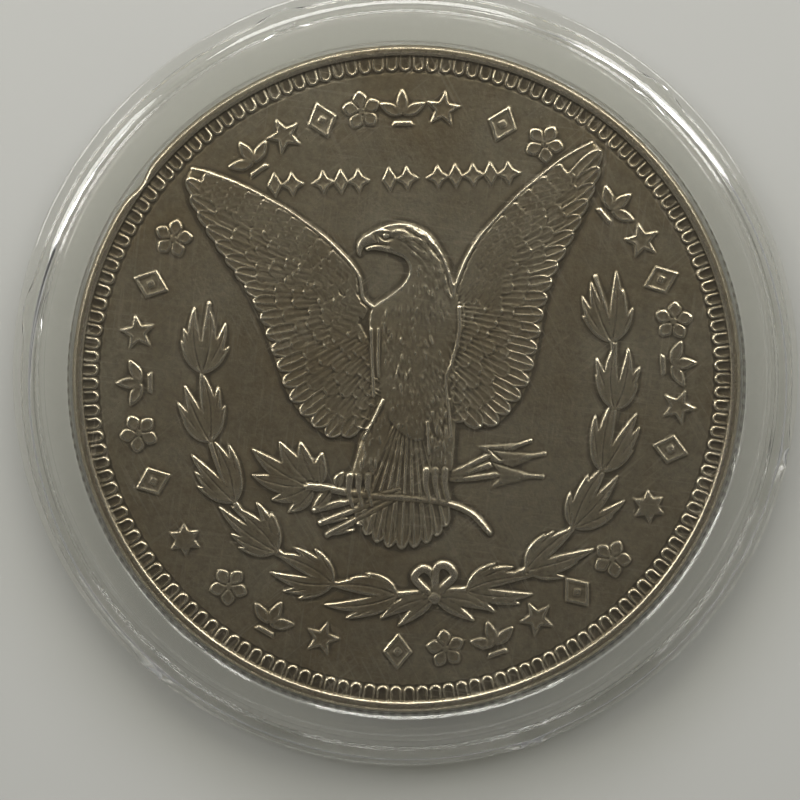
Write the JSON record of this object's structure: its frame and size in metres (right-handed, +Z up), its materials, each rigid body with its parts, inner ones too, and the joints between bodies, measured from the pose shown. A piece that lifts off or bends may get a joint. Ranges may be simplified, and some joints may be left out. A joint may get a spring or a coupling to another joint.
{
  "type": "coin capsule",
  "caption": "Round clear press-fit capsule: a flanged base shell, a domed-edge lid shell, and a reeded silver coin held flat between them.",
  "frame": {"origin": "centre of the foot ring, in the plane that the capsule rests on", "axes": "+Z up through both windows, along the axis of symmetry and the way the lid lifts off; +X and +Y lie in the resting plane"},
  "size_m": [0.0454, 0.0454, 0.0058],
  "materials": {
    "clear_base": "clear moulded plastic, polished",
    "clear_lid": "clear moulded plastic, polished, lightly handled",
    "toned_silver": "circulated silver, satin, with grey-brown toning"
  },
  "bodies": {
    "base": {"base_shell": "clear_base"},
    "lid": {"lid_shell": "clear_lid"},
    "held_coin": {"coin": "toned_silver"}
  },
  "joints": [
    {"name": "lid_lift", "type": "slide", "parent": "base", "child": "lid", "axis": [0, 0, 1], "range_m": [0, 0.025]},
    {"name": "coin_lift", "type": "slide", "parent": "base", "child": "held_coin", "axis": [0, 0, 1], "range_m": [0, 0.01]}
  ],
  "couplings": [
    {"joint": "coin_lift", "follows": "lid_lift", "ratio": 0.4}
  ]
}
